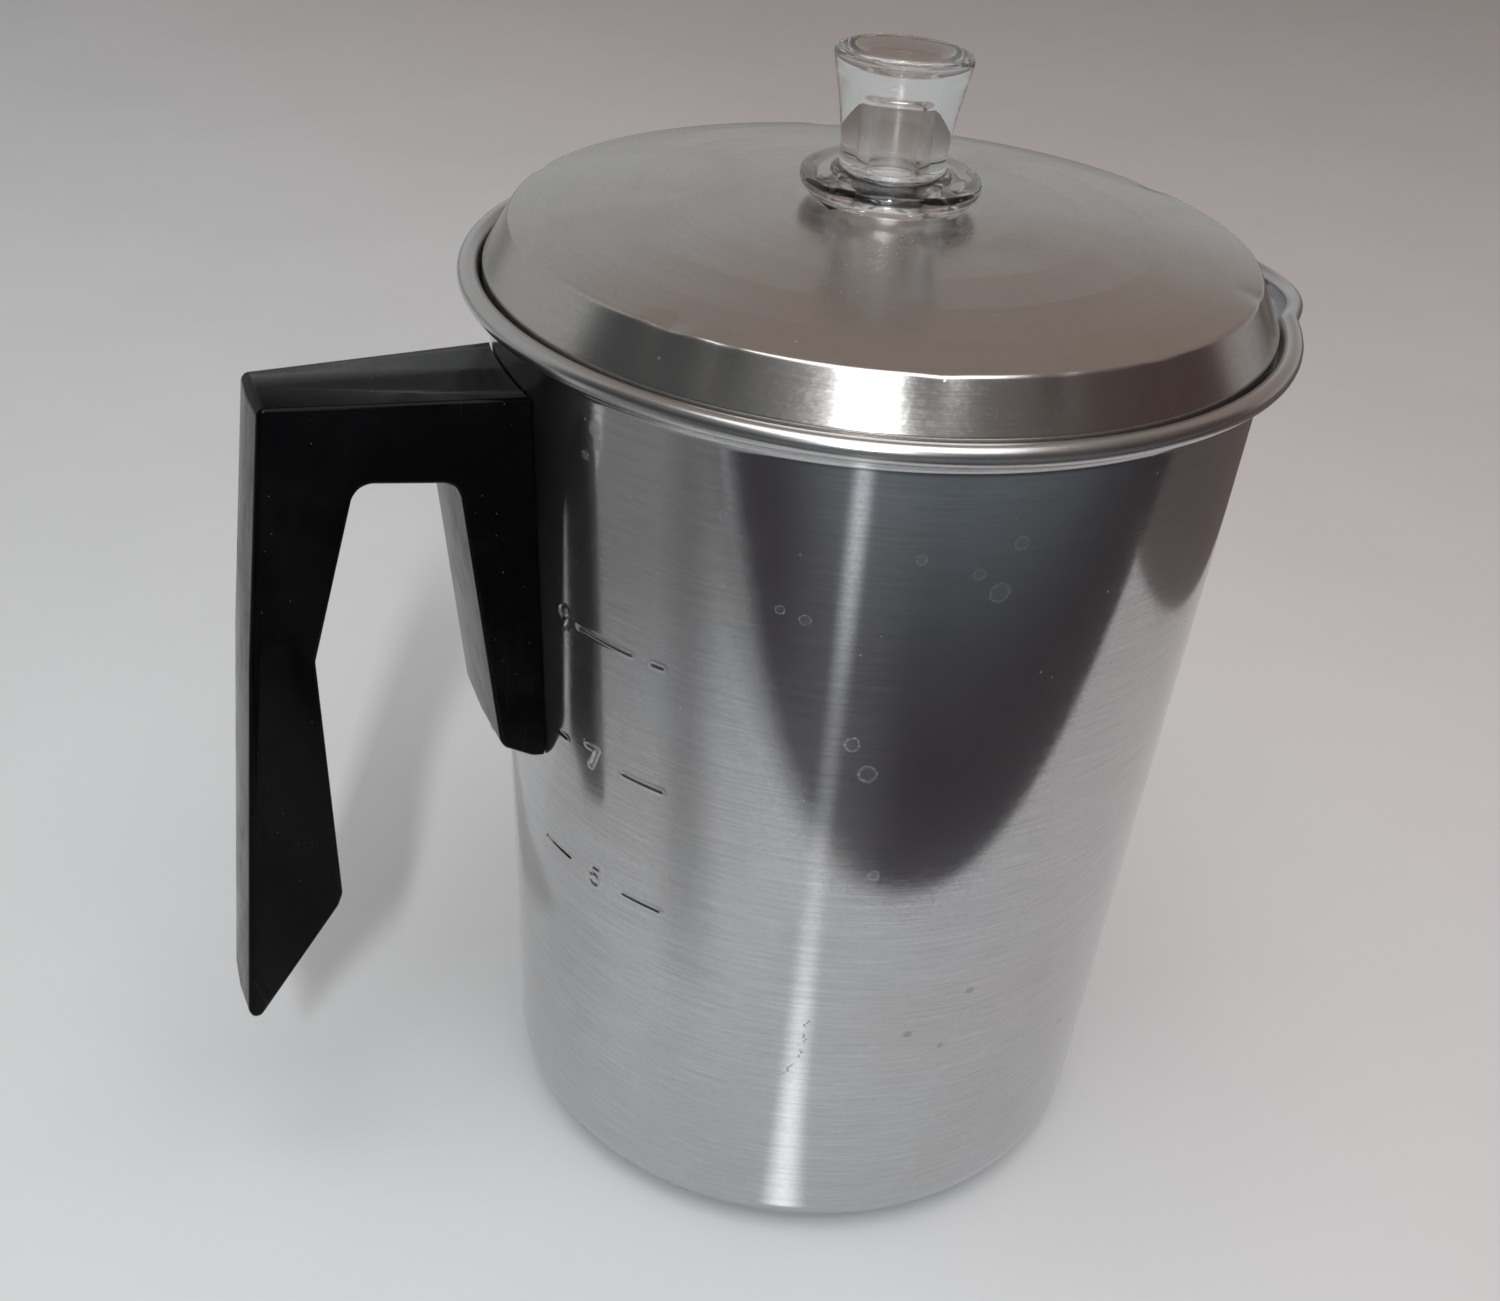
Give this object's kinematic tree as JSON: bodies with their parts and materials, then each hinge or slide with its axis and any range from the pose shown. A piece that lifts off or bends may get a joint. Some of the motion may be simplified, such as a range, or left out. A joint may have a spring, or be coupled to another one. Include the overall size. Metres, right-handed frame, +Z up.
{
  "type": "coffee percolator",
  "caption": "Tapered stove-top coffee percolator with a rolled rim, pouring lip, open-bottomed black handle, lid with a clear glass knob, and a lift-out pump and basket.",
  "frame": {"origin": "centre of the flat underside of the base, on the pot's axis", "axes": "+Z up along the pot's axis, +X towards the pouring lip, -X towards the handle, +Y by the right-hand rule"},
  "size_m": [0.1927, 0.14, 0.2046],
  "materials": {
    "pot_aluminium": "turned satin, bright at the rim",
    "lid_aluminium": "satin with fine turning lines",
    "black_bakelite": "glossy moulded",
    "clear_glass": "clear pressed",
    "basket_aluminium": "satin",
    "pump_aluminium": "satin",
    "bracket_aluminium": "mill finish",
    "rivet_aluminium": "mill finish",
    "screw_steel": "plated",
    "valve_steel": "smooth"
  },
  "bodies": {
    "pot": {"pot_body": "pot_aluminium", "handle": "black_bakelite", "handle_bracket": "bracket_aluminium", "bracket_rivet_lower": "rivet_aluminium", "bracket_rivet_upper": "rivet_aluminium", "handle_screw": "screw_steel", "screw_washer": "screw_steel"},
    "pump": {"pump_tube": "pump_aluminium", "pump_foot": "pump_aluminium", "valve_cage": "pump_aluminium", "basket_stop": "pump_aluminium"},
    "valve": {"valve_disc": "valve_steel"},
    "basket": {"coffee_basket": "basket_aluminium"},
    "cover": {"basket_cover": "basket_aluminium"},
    "lid": {"lid": "lid_aluminium"},
    "knob": {"glass_knob": "clear_glass"}
  },
  "joints": [
    {"name": "pump_lift", "type": "slide", "parent": "pot", "child": "pump", "axis": [0, 0, 1], "range_m": [0, 0.18]},
    {"name": "valve_lift", "type": "slide", "parent": "pump", "child": "valve", "axis": [0, 0, 1], "range_m": [0, 0.0025]},
    {"name": "basket_lift", "type": "slide", "parent": "pump", "child": "basket", "axis": [0, 0, 1], "range_m": [0, 0.08]},
    {"name": "cover_lift", "type": "slide", "parent": "basket", "child": "cover", "axis": [0, 0, 1], "range_m": [0, 0.04]},
    {"name": "lid_lift", "type": "slide", "parent": "cover", "child": "lid", "axis": [0, 0, 1], "range_m": [0, 0.06]},
    {"name": "knob_twist", "type": "hinge", "parent": "lid", "child": "knob", "pos_m": [0, 0, 0.18], "axis": [0, 0, 1], "range_deg": [0, 90]}
  ]
}
